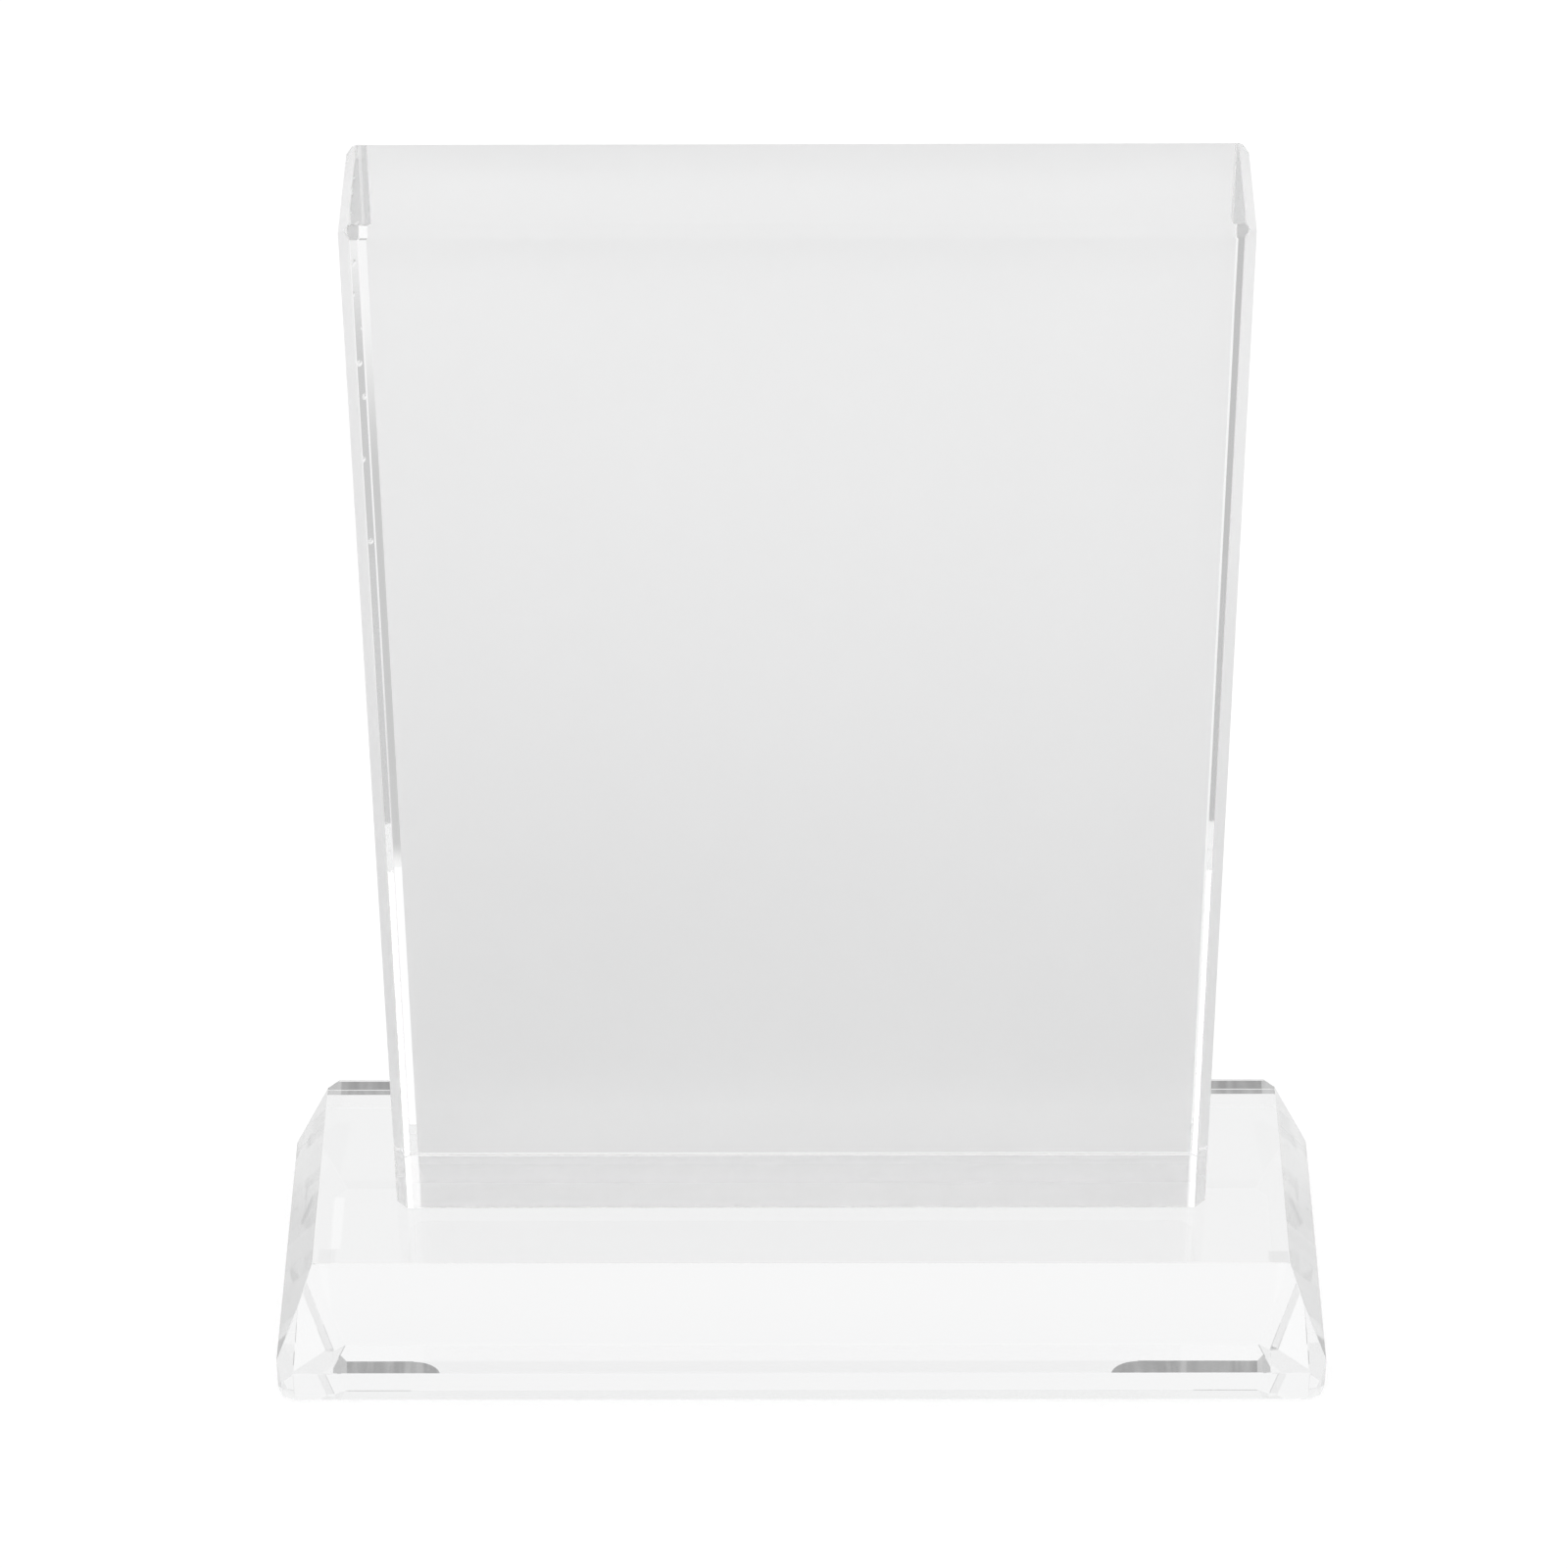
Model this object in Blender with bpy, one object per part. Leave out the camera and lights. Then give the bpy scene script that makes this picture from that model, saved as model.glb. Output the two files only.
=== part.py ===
# Crystal picture frame: an upright chamfered crystal block, coated white behind for the picture,
# glued upright to a bevelled crystal base.
# Metres, +Z up. The origin is the centre of the base's underside, and +Y points to the back.

import math

import bpy
import bmesh
from mathutils import Vector

# Upright block
PANEL_WIDTH = 0.108
PANEL_HEIGHT = 0.156
PANEL_THICKNESS = 0.0195
PANEL_SIDE_CHAMFER = 0.0014
PANEL_TOP_CHAMFER = 0.0012
PANEL_SETBACK = 0.0022

# White print coat on the block's back
COAT_THICKNESS = 0.0003
COAT_MARGIN = 0.0006

# Base slab
BASE_WIDTH = 0.140
BASE_DEPTH = 0.047
BASE_HEIGHT = 0.020
BASE_WALL_HEIGHT = 0.0049
BASE_BEVEL_RUN = 0.0054

# Ground facets on the base's four corners
FRONT_FACET_LEG = 0.0024
FRONT_FACET_REACH = 0.0090
BACK_FACET_LEG = 0.0015
WALL_CORNER_FACETS = 2

# Glue film between block and base
BOND_THICKNESS = 0.0003
BOND_INSET_SIDE = 0.0070
BOND_INSET_DEPTH = 0.0020
BOND_CORNER_CUT = 0.0030

# Clearance that touching pieces keep
CONTACT_GAP = 0.0003


def clear_scene():
    for item in list(bpy.data.objects):
        bpy.data.objects.remove(item, do_unlink=True)


def material(name, colour, roughness, transmission, ior):
    """A plain Principled finish."""
    finish = bpy.data.materials.new(name)
    finish.use_nodes = True
    shader = finish.node_tree.nodes["Principled BSDF"]
    shader.inputs["Base Color"].default_value = (*colour, 1.0)
    shader.inputs["Roughness"].default_value = roughness
    shader.inputs["Metallic"].default_value = 0.0
    shader.inputs["Transmission Weight"].default_value = transmission
    shader.inputs["IOR"].default_value = ior
    return finish


def stock_block(width, depth, height):
    """A sawn block that stands on z = 0 and is centred on the Z axis."""
    stock = bmesh.new()
    bmesh.ops.create_cube(stock, size=1.0)
    bmesh.ops.translate(stock, verts=stock.verts, vec=(0.0, 0.0, 0.5))
    bmesh.ops.scale(stock, verts=stock.verts, vec=(width, depth, height))
    return stock


def grind(stock, point, normal):
    """Take off all that lies beyond a plane, and close the cut with one flat facet."""
    parts = stock.verts[:] + stock.edges[:] + stock.faces[:]
    cut = bmesh.ops.bisect_plane(
        stock,
        geom=parts,
        dist=1e-7,
        plane_co=point,
        plane_no=Vector(normal).normalized(),
        clear_outer=True,
    )
    rim = [item for item in cut["geom_cut"] if isinstance(item, bmesh.types.BMEdge)]
    if rim:
        bmesh.ops.holes_fill(stock, edges=rim)


def grind_through(stock, first, second, third, outward):
    """Grind to the plane through three points, taking off the side that outward points to."""
    normal = (second - first).cross(third - first)
    if normal.dot(Vector(outward)) < 0.0:
        normal.negate()
    grind(stock, first, normal)


def finished_object(name, stock, finish, parent, location):
    """Turn ground stock into a named object with one material, placed under its parent."""
    bmesh.ops.recalc_face_normals(stock, faces=stock.faces)
    mesh = bpy.data.meshes.new(name)
    stock.to_mesh(mesh)
    stock.free()
    mesh.materials.append(finish)
    piece = bpy.data.objects.new(name, mesh)
    bpy.context.collection.objects.link(piece)
    piece.parent = parent
    piece.location = location
    return piece


def make_origin():
    origin = bpy.data.objects.new("frame_origin", None)
    origin.empty_display_size = BASE_HEIGHT
    bpy.context.collection.objects.link(origin)
    return origin


def make_base(origin):
    """The base slab: a low wall all round, long bevels up to the top face, ground corners."""
    stock = stock_block(BASE_WIDTH, BASE_DEPTH, BASE_HEIGHT)
    half_width = BASE_WIDTH / 2
    half_depth = BASE_DEPTH / 2
    drop = BASE_HEIGHT - BASE_WALL_HEIGHT
    for side in (-1, 1):
        grind(stock, (side * half_width, 0.0, BASE_WALL_HEIGHT), (side * drop, 0.0, BASE_BEVEL_RUN))
        grind(stock, (0.0, side * half_depth, BASE_WALL_HEIGHT), (0.0, side * drop, BASE_BEVEL_RUN))
    for side in (-1, 1):
        grind_base_corner(stock, side, -1, FRONT_FACET_LEG, FRONT_FACET_REACH, 0.0)
        grind_base_corner(stock, side, 1, BACK_FACET_LEG, drop, BACK_FACET_LEG)
    finish = material("crystal_of_base", (0.93, 0.94, 0.94), 0.0, 1.0, 1.52)
    return finished_object("crystal_base", stock, finish, origin, (0.0, 0.0, 0.0))


def grind_base_corner(stock, side, end, leg, reach, leg_at_reach):
    """Upright facets round the wall's corner, and one facet that climbs the bevels' mitre.

    The climbing facet takes a leg off each bevel at the wall, and another leg at its reach. The
    upright ones follow an arc whose radius is the leg.
    """
    slope = BASE_BEVEL_RUN / (BASE_HEIGHT - BASE_WALL_HEIGHT)
    corner_x = side * BASE_WIDTH / 2
    corner_y = end * BASE_DEPTH / 2
    beside = Vector((corner_x - side * leg, corner_y, BASE_WALL_HEIGHT))
    along = Vector((corner_x, corner_y - end * leg, BASE_WALL_HEIGHT))
    above = Vector((
        corner_x - side * (slope * reach + leg_at_reach),
        corner_y - end * slope * reach,
        BASE_WALL_HEIGHT + reach,
    ))
    outward = (side, end, slope)
    grind_through(stock, beside, along, above, outward)
    step = math.radians(90.0) / WALL_CORNER_FACETS
    for count in range(WALL_CORNER_FACETS):
        start = count * step
        middle = start + step / 2
        on_arc = Vector((
            corner_x - side * leg * (1.0 - math.cos(start)),
            corner_y - end * leg * (1.0 - math.sin(start)),
            0.0,
        ))
        grind(stock, on_arc, (side * math.cos(middle), end * math.sin(middle), 0.0))


def make_bond(base):
    """The cured glue film: it stops short of the block's sides, with its corners drawn in."""
    width = PANEL_WIDTH - 2 * BOND_INSET_SIDE
    depth = PANEL_THICKNESS - 2 * BOND_INSET_DEPTH
    stock = stock_block(width, depth, BOND_THICKNESS)
    for side in (-1, 1):
        for end in (-1, 1):
            grind(stock, (side * (width / 2 - BOND_CORNER_CUT), end * depth / 2, 0.0), (side, end, 0.0))
    finish = material("cured_glue", (0.90, 0.91, 0.91), 0.05, 1.0, 1.48)
    return finished_object("bond_layer", stock, finish, base, (0.0, PANEL_SETBACK, BASE_HEIGHT + CONTACT_GAP))


def make_panel(origin):
    """The upright block: chamfered round its front and back faces and along its top ends."""
    stock = stock_block(PANEL_WIDTH, PANEL_THICKNESS, PANEL_HEIGHT)
    half_width = PANEL_WIDTH / 2
    half_thickness = PANEL_THICKNESS / 2
    flank = half_thickness - PANEL_SIDE_CHAMFER
    chamfer_height = PANEL_HEIGHT - PANEL_TOP_CHAMFER
    for side in (-1, 1):
        for face in (-1, 1):
            grind(stock, (side * half_width, face * flank, 0.0), (side, face, 0.0))
        grind(stock, (side * half_width, 0.0, chamfer_height), (side, 0.0, 1.0))
        grind(stock, (0.0, side * half_thickness, chamfer_height), (0.0, side, 1.0))
    finish = material("crystal_of_panel", (0.94, 0.95, 0.95), 0.0, 1.0, 1.52)
    bottom = BASE_HEIGHT + CONTACT_GAP + BOND_THICKNESS + CONTACT_GAP
    return finished_object("crystal_panel", stock, finish, origin, (0.0, PANEL_SETBACK, bottom))


def make_coat(panel):
    """The opaque white coat on the block's back face, inside its chamfers."""
    width = PANEL_WIDTH - 2 * (PANEL_SIDE_CHAMFER + COAT_MARGIN)
    height = PANEL_HEIGHT - PANEL_TOP_CHAMFER - 2 * COAT_MARGIN
    stock = stock_block(width, COAT_THICKNESS, height)
    finish = material("white_print_coat", (0.78, 0.78, 0.78), 0.55, 0.0, 1.45)
    behind = PANEL_THICKNESS / 2 + CONTACT_GAP + COAT_THICKNESS / 2
    return finished_object("print_coat", stock, finish, panel, (0.0, behind, COAT_MARGIN))


clear_scene()
frame_origin = make_origin()
crystal_base = make_base(frame_origin)
bond_layer = make_bond(crystal_base)
crystal_panel = make_panel(frame_origin)
print_coat = make_coat(crystal_panel)
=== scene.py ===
# A crystal picture frame: the crystal base, the glue film, the upright crystal block and its white
# picture coat, in that order, and then the plain studio it stands in. Metres, +Z up, +Y to the back.
import math

import bmesh
import bpy
from mathutils import Matrix, Vector


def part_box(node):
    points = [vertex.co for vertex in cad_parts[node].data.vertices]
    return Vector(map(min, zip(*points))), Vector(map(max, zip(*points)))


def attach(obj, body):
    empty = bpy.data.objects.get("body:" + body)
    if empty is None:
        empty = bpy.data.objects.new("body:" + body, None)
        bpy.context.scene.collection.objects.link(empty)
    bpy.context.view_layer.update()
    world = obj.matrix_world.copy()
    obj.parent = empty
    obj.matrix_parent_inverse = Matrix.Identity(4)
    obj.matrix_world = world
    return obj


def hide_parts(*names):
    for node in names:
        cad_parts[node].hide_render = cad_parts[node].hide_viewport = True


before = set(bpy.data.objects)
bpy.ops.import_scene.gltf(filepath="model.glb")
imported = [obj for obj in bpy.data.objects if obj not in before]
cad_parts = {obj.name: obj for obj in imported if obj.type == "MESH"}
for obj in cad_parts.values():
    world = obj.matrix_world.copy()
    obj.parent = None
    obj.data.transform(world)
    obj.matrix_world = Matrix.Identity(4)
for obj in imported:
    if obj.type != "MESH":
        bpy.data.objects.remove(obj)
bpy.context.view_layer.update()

# The crystal base: one slab of optical crystal, sawn square, then ground to long bevels above a
# low wall, with small facets on its corners, and polished on every face. Each sharp edge is taken
# off with a hair-fine arris, and the small facets keep a trace of the wheel.
BASE_ARRIS = 0.00009
ARRIS_STEPS = 2
ARRIS_ROUNDNESS = 0.5
WELD_WITHIN = 1e-6
FLAT_WITHIN = math.radians(0.5)
FACET_LEAN = 0.36  # the long bevels lean less than this, and the small facets more
END_BEVEL_RISE = 0.3
CRYSTAL_IOR = 1.52
CRYSTAL_LOSS = 0.28  # per metre of crystal
BASE_TINT = (0.940, 0.942, 0.943)
HAZE_SCALE = 55.0
HAZE_DETAIL = 3.0
HAZE_KEEPS = 0.985
SPECK_CELLS = 90.0
SPECK_SIZE = 0.012
SPECK_FREE_SHARE = 0.72  # of the cells, without a speck
SPECK_COLOUR = (0.62, 0.62, 0.62)
WAVE_DETAIL = 2.0
FACE_WAVE_SCALE = 120.0
FACE_WAVE_HEIGHT = 0.0000008
FACET_WAVE_SCALE = 900.0
FACET_WAVE_HEIGHT = 0.000002
FACET_ROUGHNESS = 0.018


def set_down(name, stock):
    """Turn finished stock into a named piece in the scene."""
    mesh = bpy.data.meshes.new(name)
    stock.to_mesh(mesh)
    stock.free()
    piece = bpy.data.objects.new(name, mesh)
    bpy.context.scene.collection.objects.link(piece)
    return piece


def ground_body(name, node, arris):
    """The solid of a CAD node as ground faces, with a fine polished arris along every edge. Its
    small facets and the bevels at its two ends are marked as ground."""
    stock = bmesh.new()
    stock.from_mesh(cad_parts[node].data)
    bmesh.ops.remove_doubles(stock, verts=stock.verts, dist=WELD_WITHIN)
    bmesh.ops.dissolve_limit(stock, angle_limit=FLAT_WITHIN, verts=stock.verts, edges=stock.edges)
    bmesh.ops.bevel(
        stock,
        geom=stock.edges[:],
        offset=arris,
        segments=ARRIS_STEPS,
        profile=ARRIS_ROUNDNESS,
        affect="EDGES",
        clamp_overlap=True,
    )
    bmesh.ops.recalc_face_normals(stock, faces=stock.faces)
    ground = stock.faces.layers.float.new("ground")
    for face in stock.faces:
        lean = sorted(abs(part) for part in face.normal)[1]
        end_bevel = abs(face.normal.x) > abs(face.normal.y) and face.normal.z > END_BEVEL_RISE
        face[ground] = 1.0 if lean > FACET_LEAN or end_bevel else 0.0
    return set_down(name, stock)


def maths(tree, operation, first, second=0.0):
    """One Math node in a tree, fed by sockets or by plain numbers."""
    node = tree.nodes.new("ShaderNodeMath")
    node.operation = operation
    for socket, value in zip(node.inputs, (first, second)):
        if isinstance(value, float):
            socket.default_value = value
        else:
            tree.links.new(value, socket)
    return node.outputs["Value"]


def product(tree, *values):
    """Several masks and numbers multiplied together."""
    result = values[0]
    for value in values[1:]:
        result = maths(tree, "MULTIPLY", result, value)
    return result


def ease(tree, value, span, low, high):
    """A smooth change from low to high while a value crosses a span."""
    node = tree.nodes.new("ShaderNodeMapRange")
    node.interpolation_type = "SMOOTHSTEP"
    node.inputs["From Min"].default_value = span[0]
    node.inputs["From Max"].default_value = span[1]
    node.inputs["To Min"].default_value = low
    node.inputs["To Max"].default_value = high
    tree.links.new(value, node.inputs["Value"])
    return node.outputs["Result"]


def noise(tree, place, scale, detail):
    """A cloudy pattern through the material, from 0 to 1."""
    node = tree.nodes.new("ShaderNodeTexNoise")
    node.inputs["Scale"].default_value = scale
    node.inputs["Detail"].default_value = detail
    tree.links.new(place, node.inputs["Vector"])
    return node.outputs["Fac"]


def cells(tree, place, scale):
    """Scattered cells through the material: the distance to a cell's middle, and its own shade."""
    node = tree.nodes.new("ShaderNodeTexVoronoi")
    node.inputs["Scale"].default_value = scale
    tree.links.new(place, node.inputs["Vector"])
    return node.outputs["Distance"], node.outputs["Color"]


def blended(tree, share, first, second):
    """A colour that goes from the first to the second as a share goes from 0 to 1."""
    node = tree.nodes.new("ShaderNodeMix")
    node.data_type = "RGBA"
    tree.links.new(share, node.inputs["Factor"])
    for side, colour in (("A", first), ("B", second)):
        if isinstance(colour, tuple):
            node.inputs[side].default_value = (*colour, 1.0)
        else:
            tree.links.new(colour, node.inputs[side])
    return node.outputs["Result"]


def darker(colour, keeps):
    """A colour that keeps only a part of its light."""
    return tuple(part * keeps for part in colour)


def dusty_tint(tree, place, tint):
    """The crystal's tint: a faint haze from the polishing wheel, and a few specks of dust."""
    haze = noise(tree, place, HAZE_SCALE, HAZE_DETAIL)
    hazy = blended(tree, haze, darker(tint, HAZE_KEEPS), tint)
    distance, shade = cells(tree, place, SPECK_CELLS)
    speck = product(
        tree,
        maths(tree, "LESS_THAN", distance, SPECK_SIZE),
        maths(tree, "GREATER_THAN", shade, SPECK_FREE_SHARE),
    )
    return blended(tree, speck, hazy, SPECK_COLOUR)


def wheel_relief(tree, place, ground, chips):
    """The relief left by the wheel: a long faint wave on the faces, a shorter one on the ground
    facets, and any chips."""
    face_wave = noise(tree, place, FACE_WAVE_SCALE, WAVE_DETAIL)
    facet_wave = noise(tree, place, FACET_WAVE_SCALE, WAVE_DETAIL)
    height = maths(
        tree,
        "ADD",
        product(tree, face_wave, FACE_WAVE_HEIGHT),
        product(tree, facet_wave, ground, FACET_WAVE_HEIGHT),
    )
    if chips:
        height = maths(tree, "ADD", height, chips(tree, place, ground))
    relief = tree.nodes.new("ShaderNodeBump")
    relief.inputs["Strength"].default_value = 1.0
    relief.inputs["Distance"].default_value = 1.0
    tree.links.new(height, relief.inputs["Height"])
    return relief.outputs["Normal"]


def clear_crystal(name, tint, facet_roughness=0.0, chips=None):
    """Crystal, clear through and through. Its facets may be a little softer than its faces. Chips,
    where it has them, are the function that gives their depth."""
    finish = bpy.data.materials.new(name)
    finish.use_nodes = True
    tree = finish.node_tree
    nodes = tree.nodes
    shader = nodes["Principled BSDF"]
    shader.inputs["IOR"].default_value = CRYSTAL_IOR
    shader.inputs["Transmission Weight"].default_value = 1.0
    shader.inputs["Roughness"].default_value = 0.0
    place = nodes.new("ShaderNodeTexCoord").outputs["Object"]
    marked = nodes.new("ShaderNodeAttribute")
    marked.attribute_name = "ground"
    ground = marked.outputs["Fac"]
    tree.links.new(dusty_tint(tree, place, tint), shader.inputs["Base Color"])
    if facet_roughness > 0.0:
        tree.links.new(product(tree, ground, facet_roughness), shader.inputs["Roughness"])
    tree.links.new(wheel_relief(tree, place, ground, chips), shader.inputs["Normal"])
    loss = nodes.new("ShaderNodeVolumeAbsorption")
    loss.inputs["Color"].default_value = (0.0, 0.0, 0.0, 1.0)
    loss.inputs["Density"].default_value = CRYSTAL_LOSS
    tree.links.new(loss.outputs["Volume"], nodes["Material Output"].inputs["Volume"])
    return finish


base = ground_body("base_slab", "crystal_base", BASE_ARRIS)
base.data.materials.append(clear_crystal("base_crystal", BASE_TINT, facet_roughness=FACET_ROUGHNESS))
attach(base, "root")
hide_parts("crystal_base")

# The glue film: clear glue that sets under ultraviolet light, squeezed flat between block and base.
# It stops short of the block's edges, and its corners are round, as a pressed drop leaves them.
GLUE_GAP = 0.00006
GLUE_THICKNESS = 0.00003
GLUE_CORNER = 0.0055
GLUE_CORNER_STEPS = 8
GLUE_IOR = 1.48
GLUE_TINT = (0.975, 0.978, 0.978)
GLUE_FLOW_SCALE = 160.0
GLUE_FLOW_DETAIL = 2.0
GLUE_FLOW_KEEPS = 0.98
GLUE_ROUGHEST = 0.06
QUARTER_TURN = math.radians(90.0)
base_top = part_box("crystal_base")[1].z
glue_low, glue_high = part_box("bond_layer")


def glue_outline(low, high, radius, steps):
    """The film's outline: a rectangle with round corners."""
    points = []
    for quarter, (x, y) in enumerate((
        (high.x - radius, high.y - radius), (low.x + radius, high.y - radius),
        (low.x + radius, low.y + radius), (high.x - radius, low.y + radius),
    )):
        for step in range(steps + 1):
            angle = QUARTER_TURN * (quarter + step / steps)
            points.append((x + radius * math.cos(angle), y + radius * math.sin(angle)))
    return points


def cured_glue(name):
    """Cured glue: clear, and softer than the crystal's polish where it flowed last."""
    finish = bpy.data.materials.new(name)
    finish.use_nodes = True
    tree = finish.node_tree
    shader = tree.nodes["Principled BSDF"]
    shader.inputs["Transmission Weight"].default_value = 1.0
    shader.inputs["IOR"].default_value = GLUE_IOR
    place = tree.nodes.new("ShaderNodeTexCoord").outputs["Object"]
    flow = noise(tree, place, GLUE_FLOW_SCALE, GLUE_FLOW_DETAIL)
    tint = blended(tree, flow, darker(GLUE_TINT, GLUE_FLOW_KEEPS), GLUE_TINT)
    tree.links.new(tint, shader.inputs["Base Color"])
    tree.links.new(product(tree, flow, GLUE_ROUGHEST), shader.inputs["Roughness"])
    return finish


film_stock = bmesh.new()
film_foot = base_top + (GLUE_GAP - GLUE_THICKNESS) / 2
film_rim = [
    film_stock.verts.new((x, y, film_foot))
    for x, y in glue_outline(glue_low, glue_high, GLUE_CORNER, GLUE_CORNER_STEPS)
]
film_face = film_stock.faces.new(film_rim)
raised = bmesh.ops.extrude_face_region(film_stock, geom=[film_face])
bmesh.ops.translate(
    film_stock,
    verts=[item for item in raised["geom"] if isinstance(item, bmesh.types.BMVert)],
    vec=(0.0, 0.0, GLUE_THICKNESS),
)
bmesh.ops.recalc_face_normals(film_stock, faces=film_stock.faces)
film = set_down("glue_film", film_stock)
film.data.materials.append(cured_glue("cured_clear_glue"))
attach(film, "root")
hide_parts("bond_layer")

# The upright block: one thick slab of the same crystal, chamfered round its front and back and
# over its top ends, and glued upright on the base. Its foot keeps the saw's grain, and the upper
# back edge of its left side has small chips.
PANEL_ARRIS = 0.00012
PANEL_TINT = (0.994, 0.995, 0.996)
CHIP_CELLS = 420.0
CHIP_SIZE = 0.22
CHIP_HEIGHT = 0.00006
CHIP_LOWEST = 0.105
CHIP_FRONT = 0.0060
FOOT_REACH = 0.001
SAWN_FACING = 0.9
SAWN_GREY = (0.60, 0.60, 0.60)
SAWN_HOLDS = 0.12
panel_low, panel_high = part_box("crystal_panel")


def parted(tree, place):
    """The X, Y and Z of a place."""
    node = tree.nodes.new("ShaderNodeSeparateXYZ")
    tree.links.new(place, node.inputs["Vector"])
    return node.outputs


def edge_chips(tree, place, ground):
    """The depth of the chips along the upper back edge of the left side."""
    distance = cells(tree, place, CHIP_CELLS)[0]
    spot = parted(tree, place)
    return product(
        tree,
        ease(tree, distance, (0.0, CHIP_SIZE), 0.0, 1.0),
        maths(tree, "LESS_THAN", spot["X"], 0.0),
        maths(tree, "GREATER_THAN", spot["Y"], CHIP_FRONT),
        maths(tree, "GREATER_THAN", spot["Z"], CHIP_LOWEST),
        ground,
        CHIP_HEIGHT,
    )


def let_foot_down(block, lower_by):
    """Let the block's foot down into the glue, and mark it as sawn."""
    for corner in block.data.vertices:
        if corner.co.z < panel_low.z + FOOT_REACH:
            corner.co.z -= lower_by
    sawn = block.data.attributes.new("sawn", "FLOAT", "FACE")
    for face in block.data.polygons:
        sawn.data[face.index].value = 1.0 if face.normal.z < -SAWN_FACING else 0.0


def sawn_foot(finish):
    """Crystal whose sawn foot is greyer and holds some light in its grain."""
    tree = finish.node_tree
    shader = tree.nodes["Principled BSDF"]
    marked = tree.nodes.new("ShaderNodeAttribute")
    marked.attribute_name = "sawn"
    sawn = marked.outputs["Fac"]
    polished = shader.inputs["Base Color"].links[0].from_socket
    tree.links.new(blended(tree, sawn, polished, SAWN_GREY), shader.inputs["Base Color"])
    held = product(tree, sawn, SAWN_HOLDS)
    tree.links.new(maths(tree, "SUBTRACT", 1.0, held), shader.inputs["Transmission Weight"])
    return finish


panel = ground_body("panel_block", "crystal_panel", PANEL_ARRIS)
let_foot_down(panel, panel_low.z - base_top - GLUE_GAP)
panel.data.materials.append(sawn_foot(clear_crystal("panel_crystal", PANEL_TINT, chips=edge_chips)))
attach(panel, "root")
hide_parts("crystal_panel")

# The picture coat: an opaque white print film on the block's back face, up to the chamfers. Its
# colour is painted darker toward its foot, a painted shade, and a pale grey lacquer backs it. It wets
# the crystal, so it is seen through the block with no air between them.
COAT_GRIP = 0.00004
COAT_BACK = 0.00012
COAT_FOOT = 0.00045
COAT_SHIFT = 0.0004
COAT_ROUGHNESS = 0.6
COAT_COLOUR = (0.985, 0.985, 0.985)
COAT_MOTTLE_SCALE = 38.0
COAT_MOTTLE_DETAIL = 4.0
COAT_MOTTLE_KEEPS = 0.99
# painted shade: the coat's darker colour at its foot, and the heights over which it fades out
COAT_FOOT_SHADE = (0.885, 0.885, 0.885)
COAT_FOOT_SHADE_RISE = (0.018, 0.032)
COAT_BACKING = (0.87, 0.87, 0.87)
coat_low, coat_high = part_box("print_coat")


def flat_film(name, low, high):
    """A thin closed film between two corners."""
    stock = bmesh.new()
    bmesh.ops.create_cube(stock, size=1.0)
    bmesh.ops.scale(stock, verts=stock.verts, vec=high - low)
    bmesh.ops.translate(stock, verts=stock.verts, vec=(low + high) / 2)
    return set_down(name, stock)


def print_white(name):
    """Matt white print coat, faintly uneven as a rolled coat is, and with a painted shade that darkens it
    toward its foot. Its back has a plain backing lacquer."""
    finish = bpy.data.materials.new(name)
    finish.use_nodes = True
    tree = finish.node_tree
    shader = tree.nodes["Principled BSDF"]
    shader.inputs["Roughness"].default_value = COAT_ROUGHNESS
    shader.inputs["Specular IOR Level"].default_value = 0.0
    place = tree.nodes.new("ShaderNodeTexCoord").outputs["Object"]
    spot = parted(tree, place)
    mottle = noise(tree, place, COAT_MOTTLE_SCALE, COAT_MOTTLE_DETAIL)
    rolled = blended(tree, mottle, darker(COAT_COLOUR, COAT_MOTTLE_KEEPS), COAT_COLOUR)
    # painted shade: the colour turns darker toward the coat's foot
    foot_shaded = blended(tree, ease(tree, spot["Z"], COAT_FOOT_SHADE_RISE, 1.0, 0.0), rolled, COAT_FOOT_SHADE)
    behind = maths(tree, "GREATER_THAN", spot["Y"], panel_high.y)
    tree.links.new(blended(tree, behind, foot_shaded, COAT_BACKING), shader.inputs["Base Color"])
    return finish


coat = flat_film(
    "print_film",
    Vector((coat_low.x + COAT_SHIFT, panel_high.y - COAT_GRIP, base_top + COAT_FOOT)),
    Vector((coat_high.x + COAT_SHIFT, panel_high.y + COAT_BACK, coat_high.z)),
)
coat.data.materials.append(print_white("white_print"))
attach(coat, "root")
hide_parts("print_coat")

# The floor: plain and pale, and it takes the object's soft shadow. The crystal gathers its tones
# from all round, so what it sees of the floor is set apart from what the eye sees, with a painted
# shade close around the base, painted light and shade behind it and below it, and slots through to
# a grey card that stands in for shade below the base's rear. Spans are along X or along Y.
FLOOR_HALF = 6.0
FLOOR_DROP = 0.0001
FLOOR_LIT = (0.45, 0.45, 0.45)
FLOOR_GLOW = 0.58
FLOOR_SEEN = 0.95
FOOTPRINT_HALF = (0.0703, 0.0238)
FIRST_BOUNCE = 0.5  # between no bounce and one
# painted shade on the floor around the base, as the crystal sees it: its depth and its spans
SHADE_DEPTH = 0.40
SHADE_LEFT = (-0.36, -0.24)
SHADE_RIGHT = (0.200, 0.245)
SHADE_ACROSS = (-0.07, 0.07)
SHADE_LIGHTER = 0.82
SHADE_FRONT = (-0.26, -0.05)
SHADE_BACK = (0.012, 0.036)
SHADE_BACK_ENDS = (0.040, 0.090)
SHADE_ENDS = 0.6
# painted shadow of the object: how much deeper the floor's shade is to light scattered from the coat,
# around the base and below it
CAST_AROUND = 0.24
CAST_UNDER = 0.42


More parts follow.
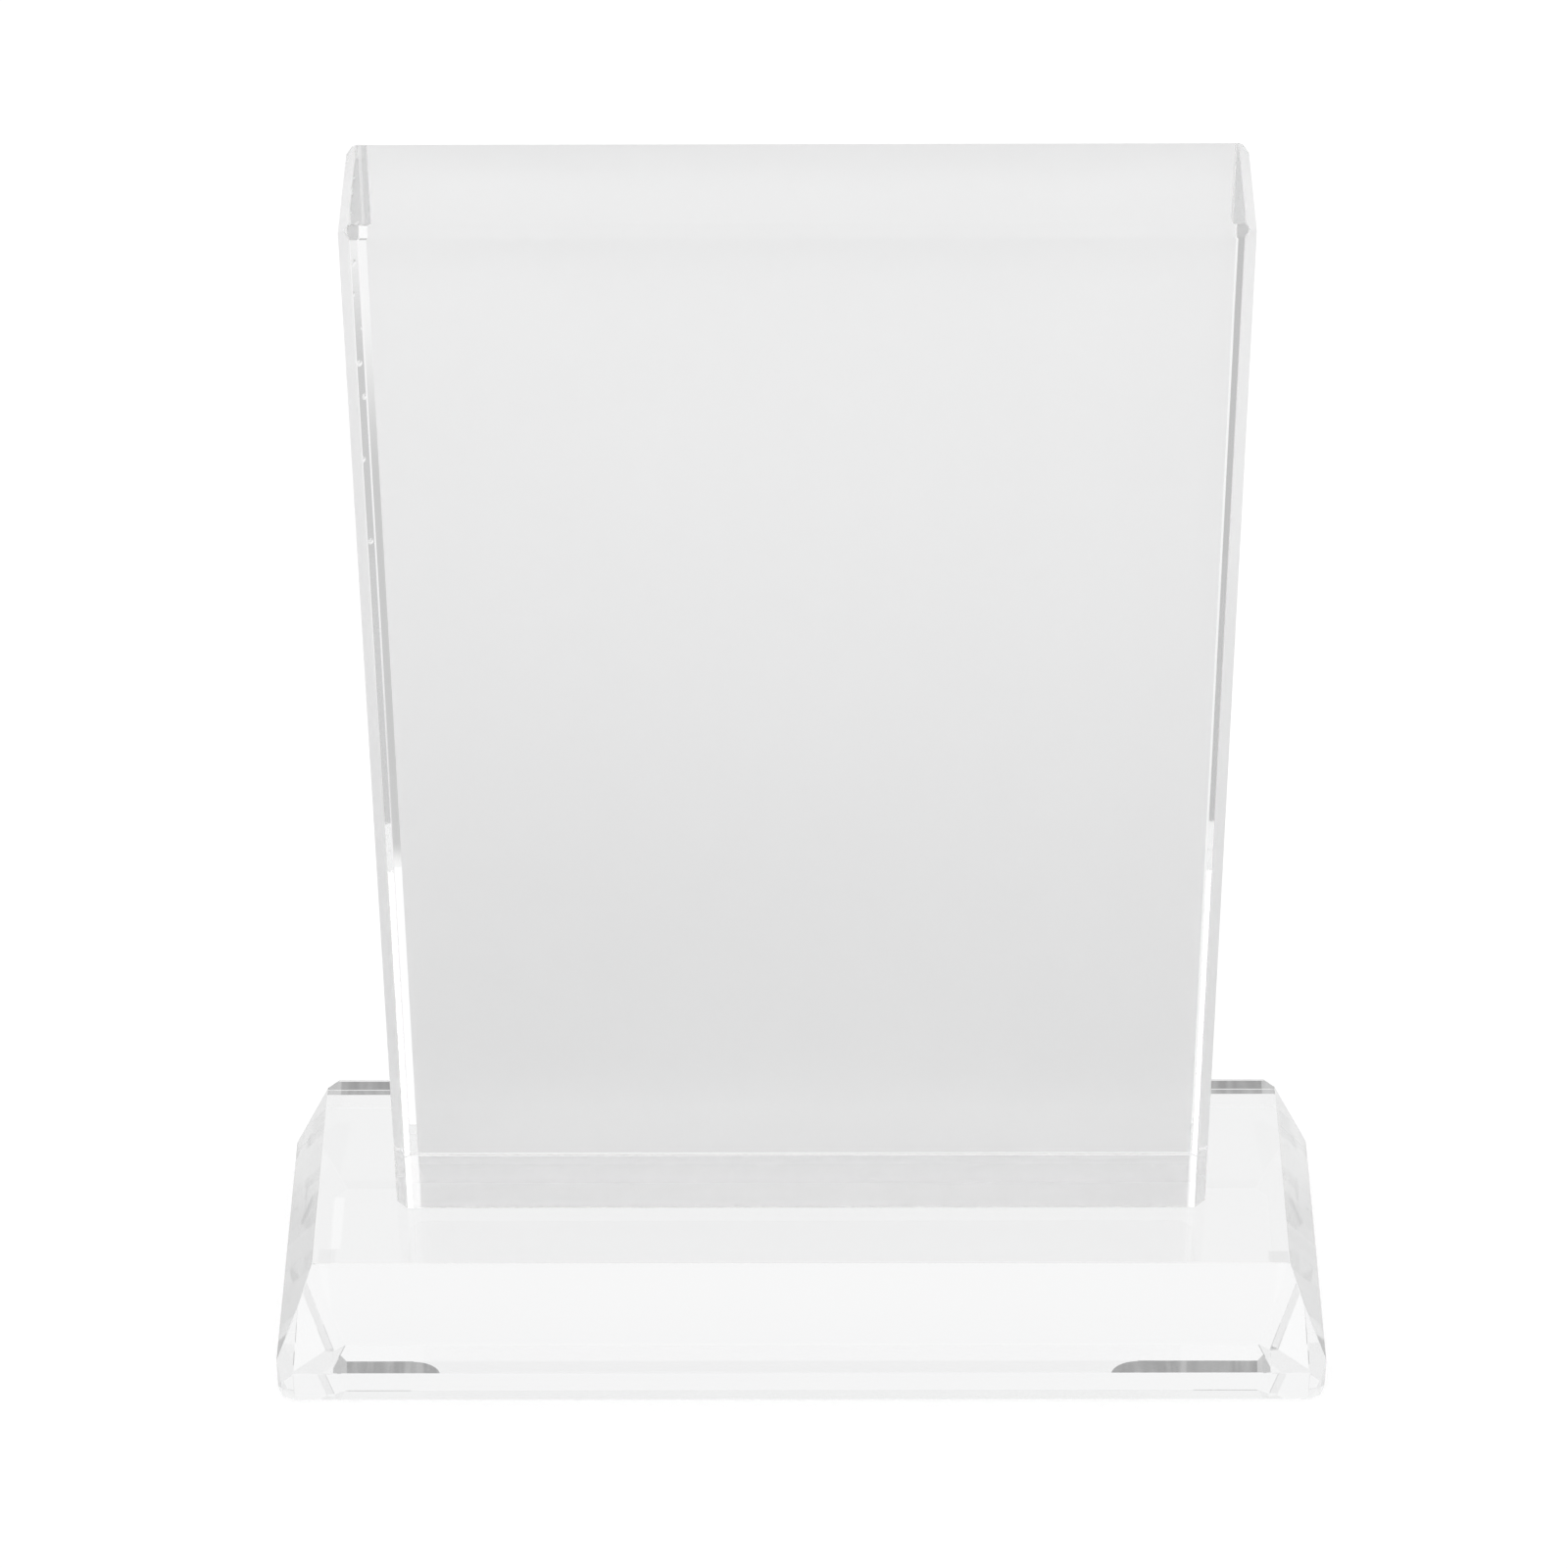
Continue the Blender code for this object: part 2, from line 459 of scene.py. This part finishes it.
def level_sheet(name, half_width, half_depth, height):
    """A level sheet of the studio."""
    mesh = bpy.data.meshes.new(name)
    corners = [(x * half_width, y * half_depth, height) for x, y in ((-1, -1), (1, -1), (1, 1), (-1, 1))]
    mesh.from_pydata(corners, [], [(0, 1, 2, 3)])
    sheet = bpy.data.objects.new(name, mesh)
    bpy.context.scene.collection.objects.link(sheet)
    return sheet


def painted_shade_around(tree, across, along, beside):
    """Painted shade on the floor close around the base. It reaches further back beside the two ends."""
    back = ease(tree, along, SHADE_BACK, 1.0, 0.0)
    back_ends = product(tree, ease(tree, along, SHADE_BACK_ENDS, 1.0, 0.0), beside, SHADE_ENDS)
    return product(
        tree,
        ease(tree, across, SHADE_LEFT, 0.0, 1.0),
        ease(tree, across, SHADE_RIGHT, 1.0, 0.0),
        ease(tree, across, SHADE_ACROSS, 1.0, SHADE_LIGHTER),
        ease(tree, along, SHADE_FRONT, 0.0, 1.0),
        maths(tree, "MAXIMUM", back, back_ends),
    )


# painted shade on the floor behind the object on the left
REAR_PAINTED_SHADE = 0.36
REAR_PAINTED_SHADE_NEAR = (0.096, 0.102)
REAR_PAINTED_SHADE_FAR = (0.190, 0.245)
REAR_PAINTED_SHADE_SIDE = (-0.045, -0.040)
# painted light on the floor just behind the left part of the base
REAR_PAINTED_LIGHT = 0.10
REAR_PAINTED_LIGHT_SPAN = (0.0238, 0.0960)
REAR_PAINTED_LIGHT_SIDE = (-0.040, -0.020)


def rear_painted_shade(tree, across, along):
    """Painted shade on the floor behind the object on the left."""
    return product(
        tree,
        ease(tree, along, REAR_PAINTED_SHADE_NEAR, 0.0, 1.0),
        ease(tree, along, REAR_PAINTED_SHADE_FAR, 1.0, 0.0),
        ease(tree, across, REAR_PAINTED_SHADE_SIDE, 1.0, 0.0),
        REAR_PAINTED_SHADE,
    )


def rear_painted_light(tree, across, along, beside):
    """Painted light on the floor between the base and the painted shade behind it on the left."""
    return product(
        tree,
        maths(tree, "GREATER_THAN", along, REAR_PAINTED_LIGHT_SPAN[0]),
        maths(tree, "LESS_THAN", along, REAR_PAINTED_LIGHT_SPAN[1]),
        ease(tree, across, REAR_PAINTED_LIGHT_SIDE, 1.0, 0.0),
        maths(tree, "SUBTRACT", 1.0, beside),
        REAR_PAINTED_LIGHT,
    )


SLOT_FRONT = (0.0152, 0.0173)
SLOT_LEFT = -0.0545
SLOT_RIGHT = 0.0471
SLOT_ROUND = (0.0037, 0.0020)
SLOT_REAR_INNER = 0.0550
SLOT_REAR_FROM = 0.0220
SLOT_OUTER = 0.0639
SLOT_OUTER_END = 0.0663
SLOT_OUTER_OPEN = 0.64
SLOT_OUTER_SLANT = 1.1


def slot_bulge(tree, along):
    """How far the round inner end of a front slot bulges at a place along it."""
    short = maths(tree, "DIVIDE", maths(tree, "SUBTRACT", SLOT_FRONT[1], along), SLOT_ROUND[1])
    rest = maths(tree, "SUBTRACT", 1.0, maths(tree, "MULTIPLY", short, short))
    return product(tree, maths(tree, "SQRT", maths(tree, "MAXIMUM", rest, 0.0)), SLOT_ROUND[0])


def slots(tree, across, along):
    """How open the floor is below the base's rear to the card's painted shade: a front slot and a rear
    slot at each side, with half-open outer ends. The front ones end round inside and slant off outside."""
    out = maths(tree, "ABSOLUTE", across)
    within = maths(tree, "LESS_THAN", out, SLOT_OUTER)
    before_end = maths(tree, "LESS_THAN", along, SLOT_FRONT[1])
    in_rear = maths(tree, "GREATER_THAN", along, SLOT_REAR_FROM)
    bulge = slot_bulge(tree, along)
    left = maths(tree, "LESS_THAN", maths(tree, "SUBTRACT", across, bulge), SLOT_LEFT)
    on_right = maths(tree, "GREATER_THAN", maths(tree, "ADD", across, bulge), SLOT_RIGHT)
    front = product(
        tree,
        maths(tree, "MAXIMUM", left, on_right),
        maths(tree, "GREATER_THAN", along, SLOT_FRONT[0]),
        before_end,
    )
    rear = product(tree, maths(tree, "GREATER_THAN", out, SLOT_REAR_INNER), in_rear)
    slot = maths(tree, "MULTIPLY", maths(tree, "MAXIMUM", front, rear), within)

    slant = maths(tree, "MULTIPLY", maths(tree, "SUBTRACT", out, SLOT_OUTER), SLOT_OUTER_SLANT)
    past_slant = maths(tree, "GREATER_THAN", maths(tree, "ADD", along, slant), SLOT_FRONT[0])
    front_end = maths(tree, "MULTIPLY", past_slant, before_end)
    beyond = maths(tree, "SUBTRACT", maths(tree, "LESS_THAN", out, SLOT_OUTER_END), within)
    end = product(tree, beyond, maths(tree, "MAXIMUM", front_end, in_rear), SLOT_OUTER_OPEN)
    return maths(tree, "ADD", slot, end)


# painted light on the floor below the base, for sight turned back inside
TURNED_LIFT = 0.03
TURNED_PAINTED_LIGHT = 0.055
TURNED_PAINTED_LIGHT_FROM = 0.012


def turned_lift(tree, along):
    """Painted light: how much whiter the floor below the base is to sight turned back inside, up to the
    slots.
    """
    white = product(
        tree,
        maths(tree, "GREATER_THAN", along, TURNED_PAINTED_LIGHT_FROM),
        maths(tree, "LESS_THAN", along, SLOT_FRONT[0]),
        TURNED_PAINTED_LIGHT,
    )
    before_end = maths(tree, "LESS_THAN", along, SLOT_FRONT[1])
    return product(tree, before_end, maths(tree, "ADD", white, TURNED_LIFT))


UNDER_PATCHES = (
    ((-0.0634, -0.0624), (-0.0042, 0.0055), 0.055),
    ((-0.0649, -0.0630), (-0.0080, -0.0047), -0.045),
    ((0.0632, 0.0658), (-0.0088, -0.0052), -0.090),
)
UNDER_PATCH_SOFT = 0.0004


def under_patches(tree, across, along):
    """Soft patches on the floor below the base: one of light that a facet gathers, and two of a
    facet's shade."""
    total = 0.0
    for across_span, along_span, gain in UNDER_PATCHES:
        patch = product(
            tree,
            ease(tree, across, (across_span[0] - UNDER_PATCH_SOFT, across_span[0]), 0.0, 1.0),
            ease(tree, across, (across_span[1], across_span[1] + UNDER_PATCH_SOFT), 1.0, 0.0),
            ease(tree, along, (along_span[0] - UNDER_PATCH_SOFT, along_span[0]), 0.0, 1.0),
            ease(tree, along, (along_span[1], along_span[1] + UNDER_PATCH_SOFT), 1.0, 0.0),
            gain,
        )
        total = maths(tree, "ADD", total, patch)
    return total


def floor_finish():
    """White floor, lit and shadowed for the eye. To the crystal it is white below the base with a painted
    shade around it, and it lets sight that was turned back inside the base through its slots."""
    finish = bpy.data.materials.new("pale_floor")
    finish.use_nodes = True
    tree = finish.node_tree
    nodes = tree.nodes
    links = tree.links
    nodes.remove(nodes["Principled BSDF"])
    spot = parted(tree, nodes.new("ShaderNodeTexCoord").outputs["Object"])
    across = spot["X"]
    along = spot["Y"]
    beside = maths(tree, "GREATER_THAN", maths(tree, "ABSOLUTE", across), FOOTPRINT_HALF[0])
    past_edge = maths(tree, "GREATER_THAN", maths(tree, "ABSOLUTE", along), FOOTPRINT_HALF[1])
    around = maths(tree, "MAXIMUM", beside, past_edge)
    below = maths(tree, "SUBTRACT", 1.0, around)

    path = nodes.new("ShaderNodeLightPath")
    turned_back = maths(tree, "GREATER_THAN", path.outputs["Glossy Depth"], FIRST_BOUNCE)
    not_turned = maths(tree, "SUBTRACT", 1.0, turned_back)
    straight = maths(tree, "LESS_THAN", path.outputs["Diffuse Depth"], FIRST_BOUNCE)
    scattered = maths(tree, "SUBTRACT", 1.0, straight)
    turned = product(tree, turned_back, straight, below)

    # painted shade around the base, deeper for light scattered from the coat
    depth = maths(tree, "ADD", product(tree, scattered, CAST_AROUND), SHADE_DEPTH)
    painted_shade = product(tree, painted_shade_around(tree, across, along, beside), around, depth)
    tone = maths(tree, "SUBTRACT", FLOOR_SEEN, painted_shade)
    # painted shade behind the object on the left
    tone = maths(tree, "SUBTRACT", tone, rear_painted_shade(tree, across, along))
    # painted shadow below the base, for light scattered from the coat
    tone = maths(tree, "SUBTRACT", tone, product(tree, scattered, below, CAST_UNDER))
    # painted light added to the floor's tone: below the base, behind it on the left, and in patches
    for lighter in (
        product(tree, turned, turned_lift(tree, along)),
        product(tree, straight, rear_painted_light(tree, across, along, beside)),
        product(tree, not_turned, straight, below, under_patches(tree, across, along)),
    ):
        tone = maths(tree, "ADD", tone, lighter)

    seen_through = nodes.new("ShaderNodeEmission")
    links.new(tone, seen_through.inputs["Strength"])
    let_by = nodes.new("ShaderNodeBsdfTransparent")
    for_crystal = nodes.new("ShaderNodeMixShader")
    # the slots open on the grey card's painted shade
    links.new(product(tree, turned, slots(tree, across, along)), for_crystal.inputs["Fac"])
    links.new(seen_through.outputs["Emission"], for_crystal.inputs[1])
    links.new(let_by.outputs["BSDF"], for_crystal.inputs[2])

    lit = nodes.new("ShaderNodeBsdfDiffuse")
    lit.inputs["Color"].default_value = (*FLOOR_LIT, 1.0)
    glow = nodes.new("ShaderNodeEmission")
    glow.inputs["Strength"].default_value = FLOOR_GLOW
    for_eye = nodes.new("ShaderNodeAddShader")
    links.new(lit.outputs["BSDF"], for_eye.inputs[0])
    links.new(glow.outputs["Emission"], for_eye.inputs[1])
    pick = nodes.new("ShaderNodeMixShader")
    links.new(path.outputs["Is Camera Ray"], pick.inputs["Fac"])
    links.new(for_crystal.outputs["Shader"], pick.inputs[1])
    links.new(for_eye.outputs["Shader"], pick.inputs[2])
    links.new(pick.outputs["Shader"], nodes["Material Output"].inputs["Surface"])
    return finish


floor = level_sheet("studio_floor", FLOOR_HALF, FLOOR_HALF, -FLOOR_DROP)
floor.data.materials.append(floor_finish())

# The grey card: a dark sheet that stands in for the shade below the base's rear, a painted shade. It
# lies far below the floor, and only sight turned back inside the base reaches it, through the floor's
# slots. It is a little darker to the rear, and it has slanting scuffs, lighter streaks in its painted
# shade.
CARD_HALF = (0.118, 0.29)
CARD_DROP = 0.5
CARD_SPAN = (-0.25, 0.20)
CARD_TONES = (0.44, 0.34)
SCUFF_SCALE = 420.0
SCUFF_DETAIL = 3.0
SCUFF_TURN = (0.0, 0.0, 0.6)
SCUFF_STRETCH = (1.0, 0.12, 1.0)
SCUFF_SPAN = (0.35, 0.72)
SCUFF_TONES = (0.86, 1.20)


def card_finish():
    """Grey card, a painted shade, with slanting scuffs."""
    finish = bpy.data.materials.new("painted_shade_card")
    finish.use_nodes = True
    tree = finish.node_tree
    nodes = tree.nodes
    nodes.remove(nodes["Principled BSDF"])
    place = nodes.new("ShaderNodeTexCoord").outputs["Object"]
    lay = nodes.new("ShaderNodeMapping")
    lay.inputs["Rotation"].default_value = SCUFF_TURN
    lay.inputs["Scale"].default_value = SCUFF_STRETCH
    tree.links.new(place, lay.inputs["Vector"])
    scuff = noise(tree, lay.outputs["Vector"], SCUFF_SCALE, SCUFF_DETAIL)
    tone = product(
        tree,
        ease(tree, parted(tree, place)["Y"], CARD_SPAN, *CARD_TONES),
        ease(tree, scuff, SCUFF_SPAN, *SCUFF_TONES),
    )
    glow = nodes.new("ShaderNodeEmission")
    tree.links.new(tone, glow.inputs["Strength"])
    tree.links.new(glow.outputs["Emission"], nodes["Material Output"].inputs["Surface"])
    return finish


card = level_sheet("card_below", *CARD_HALF, -CARD_DROP)
card.data.materials.append(card_finish())

# The surround: white all round and a shade greyer below the horizon, with a soft box and a low grey
# flag at each side. It is all the light there is, so the shadows are soft.
SKY_TONE = 1.03
UNDER_TONE = 0.95
HORIZON = -0.01
FLAG_TONE = 0.94
FLAG_TOP = (0.18, 0.34)
FLAG_SIDE = (0.45, 0.75)
BOX_LIGHT = 0.20
BOX_FOOT = (0.40, 0.50)
BOX_TOP = (0.80, 0.88)
BOX_SIDE = (0.50, 0.62)

world = bpy.data.worlds.new("white_studio")
world.use_nodes = True
bpy.context.scene.world = world
sky = world.node_tree
heading = parted(sky, sky.nodes.new("ShaderNodeTexCoord").outputs["Generated"])
height = heading["Z"]
aside = maths(sky, "ABSOLUTE", heading["X"])
above = maths(sky, "GREATER_THAN", height, HORIZON)
plain = maths(sky, "ADD", maths(sky, "MULTIPLY", above, SKY_TONE - UNDER_TONE), UNDER_TONE)
flags = product(
    sky,
    ease(sky, height, FLAG_TOP, 1.0, 0.0),
    above,
    ease(sky, aside, FLAG_SIDE, 0.0, 1.0),
    SKY_TONE - FLAG_TONE,
)
boxes = product(
    sky,
    ease(sky, height, BOX_FOOT, 0.0, 1.0),
    ease(sky, height, BOX_TOP, 1.0, 0.0),
    ease(sky, aside, BOX_SIDE, 0.0, 1.0),
    BOX_LIGHT,
)
surround = sky.nodes["Background"]
surround.inputs["Color"].default_value = (1.0, 1.0, 1.0, 1.0)
sky.links.new(maths(sky, "ADD", maths(sky, "SUBTRACT", plain, flags), boxes), surround.inputs["Strength"])

# The camera: a long lens in front of the object and above it, at the photograph's viewing angle and
# a third of a degree off level. Sight turns back many times inside the crystal, so it is let run.
CAMERA_PLACE = (0.00219, -0.59982, 0.57673)
CAMERA_AIM = (-0.001968, 0.0, 0.086951)
CAMERA_ROLL = math.radians(-0.3374)
CAMERA_LENS = 139.485
SENSOR_WIDTH = 36.0
SIGHT_TURNS = 48
SIGHT_PASSES = 24
SIGHT_SCATTERS = 10

lens = bpy.data.cameras.new("studio_camera")
lens.sensor_fit = "HORIZONTAL"
lens.sensor_width = SENSOR_WIDTH
lens.lens = CAMERA_LENS
camera = bpy.data.objects.new("studio_camera", lens)
bpy.context.scene.collection.objects.link(camera)
sight = Vector(CAMERA_AIM) - Vector(CAMERA_PLACE)
level_turn = sight.to_track_quat("-Z", "Y").to_matrix()
turn = level_turn @ Matrix.Rotation(CAMERA_ROLL, 3, "Z")
camera.matrix_world = Matrix.Translation(CAMERA_PLACE) @ turn.to_4x4()
bpy.context.scene.camera = camera

bpy.context.scene.view_settings.view_transform = "Standard"
cycles = bpy.context.scene.cycles
cycles.max_bounces = SIGHT_TURNS
cycles.glossy_bounces = SIGHT_TURNS
cycles.transmission_bounces = SIGHT_PASSES
cycles.diffuse_bounces = SIGHT_SCATTERS
cycles.blur_glossy = 0.0
